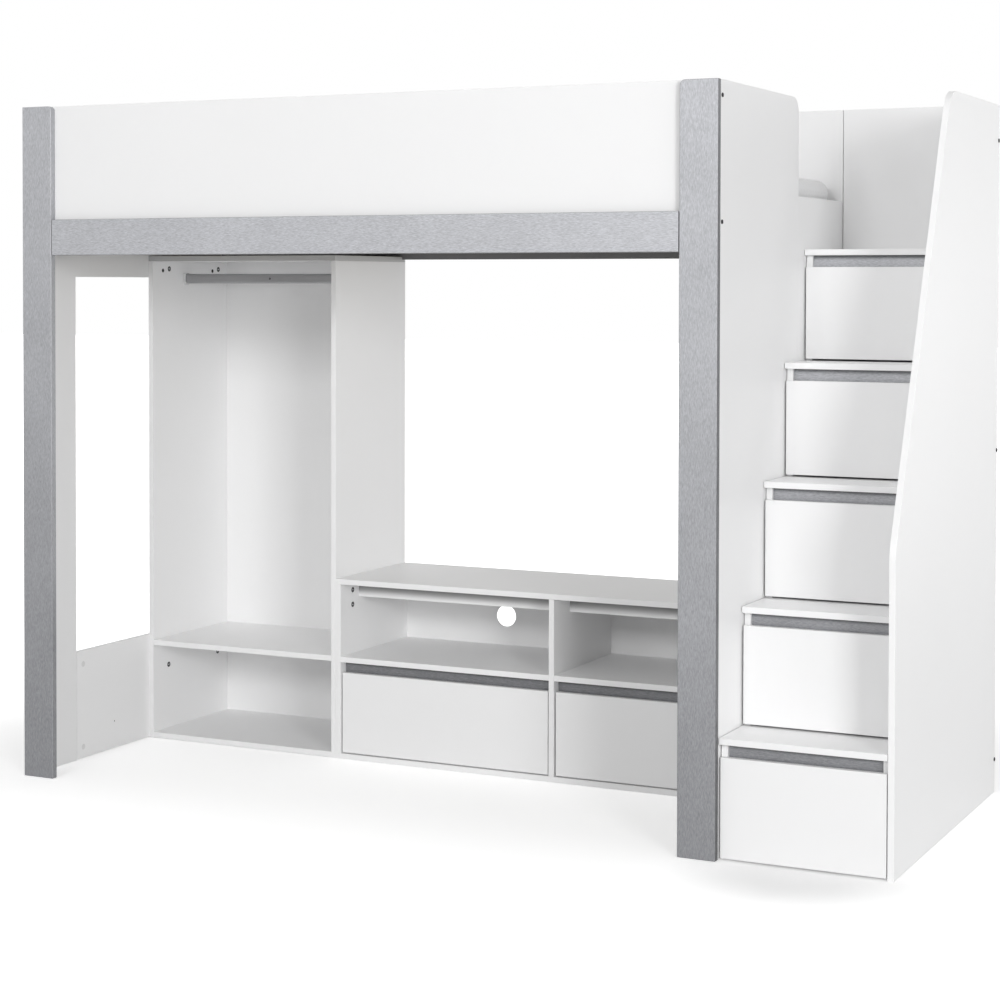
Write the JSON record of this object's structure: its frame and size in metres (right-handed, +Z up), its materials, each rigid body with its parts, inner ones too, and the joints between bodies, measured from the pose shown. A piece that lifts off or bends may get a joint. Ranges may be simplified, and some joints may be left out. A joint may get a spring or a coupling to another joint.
{
  "type": "high sleeper bed",
  "caption": "High sleeper bed with an open wardrobe and a low cabinet with drawers underneath, and a storage staircase of drawers at its right end.",
  "frame": {"origin": "centre of the footprint on the floor", "axes": "+X along the bed from its left end to the staircase, +Y from the front to the wall behind, +Z up"},
  "size_m": [2.357, 0.962, 1.77],
  "materials": {
    "white_board": "white melamine-coated chipboard, satin, with edge band",
    "grey_foil": "grey foil with a fine brushed grain along the board",
    "slat_wood": "planed softwood",
    "bearer_paint": "dark grey paint on planed softwood",
    "mattress_cover": "knitted ticking",
    "rail_steel": "satin steel tube",
    "white_plastic": "moulded",
    "runner_enamel": "white baked enamel",
    "drawer_board": "white coated board",
    "bolt_steel": "black oxide"
  },
  "bodies": {
    "root": {"front_post_left": "grey_foil", "front_post_right": "grey_foil", "front_rail": "grey_foil", "front_guard_panel": "white_board", "back_guard_panel": "white_board", "left_end_panel": "white_board", "left_end_low_board": "white_board", "right_end_panel": "white_board", "right_end_sill_panel": "white_board", "deck_bearers": "bearer_paint", "bed_slats": "slat_wood", "mattress": "mattress_cover", "wardrobe_left_side": "white_board", "wardrobe_right_side": "white_board", "wardrobe_top": "white_board", "wardrobe_bottom": "white_board", "wardrobe_shelf": "white_board", "wardrobe_back": "white_board", "hanging_rail": "rail_steel", "hanging_rail_sockets": "white_plastic", "cabinet_left_side": "white_board", "cabinet_divider": "white_board", "cabinet_right_side": "white_board", "cabinet_top": "white_board", "cabinet_bottom": "white_board", "cabinet_shelves": "white_board", "cabinet_back": "white_board", "cabinet_stretchers": "white_board", "cabinet_grip_rails": "grey_foil", "stair_left_side": "white_board", "stair_right_side": "white_board", "stair_outer_panel": "white_board", "stair_treads": "white_board", "stair_back_panel": "white_board", "stair_bottom": "white_board", "stair_grip_rails": "grey_foil", "carcass_runners": "runner_enamel", "panel_bolts": "bolt_steel"},
    "stair_drawer_1": {"stair_drawer_1_front": "white_board", "stair_drawer_1_box": "drawer_board", "stair_drawer_1_runners": "runner_enamel"},
    "stair_drawer_2": {"stair_drawer_2_front": "white_board", "stair_drawer_2_box": "drawer_board", "stair_drawer_2_runners": "runner_enamel"},
    "stair_drawer_3": {"stair_drawer_3_front": "white_board", "stair_drawer_3_box": "drawer_board", "stair_drawer_3_runners": "runner_enamel"},
    "stair_drawer_4": {"stair_drawer_4_front": "white_board", "stair_drawer_4_box": "drawer_board", "stair_drawer_4_runners": "runner_enamel"},
    "stair_drawer_5": {"stair_drawer_5_front": "white_board", "stair_drawer_5_box": "drawer_board", "stair_drawer_5_runners": "runner_enamel"},
    "cabinet_drawer_left": {"cabinet_drawer_left_front": "white_board", "cabinet_drawer_left_box": "drawer_board", "cabinet_drawer_left_runners": "runner_enamel"},
    "cabinet_drawer_right": {"cabinet_drawer_right_front": "white_board", "cabinet_drawer_right_box": "drawer_board", "cabinet_drawer_right_runners": "runner_enamel"}
  },
  "joints": [
    {"name": "stair_drawer_1_slide", "type": "slide", "parent": "root", "child": "stair_drawer_1", "axis": [0, -1, 0], "range_m": [0, 0.3]},
    {"name": "stair_drawer_2_slide", "type": "slide", "parent": "root", "child": "stair_drawer_2", "axis": [0, -1, 0], "range_m": [0, 0.3]},
    {"name": "stair_drawer_3_slide", "type": "slide", "parent": "root", "child": "stair_drawer_3", "axis": [0, -1, 0], "range_m": [0, 0.3]},
    {"name": "stair_drawer_4_slide", "type": "slide", "parent": "root", "child": "stair_drawer_4", "axis": [0, -1, 0], "range_m": [0, 0.3]},
    {"name": "stair_drawer_5_slide", "type": "slide", "parent": "root", "child": "stair_drawer_5", "axis": [0, -1, 0], "range_m": [0, 0.215]},
    {"name": "cabinet_drawer_left_slide", "type": "slide", "parent": "root", "child": "cabinet_drawer_left", "axis": [0, -1, 0], "range_m": [0, 0.26]},
    {"name": "cabinet_drawer_right_slide", "type": "slide", "parent": "root", "child": "cabinet_drawer_right", "axis": [0, -1, 0], "range_m": [0, 0.26]}
  ]
}
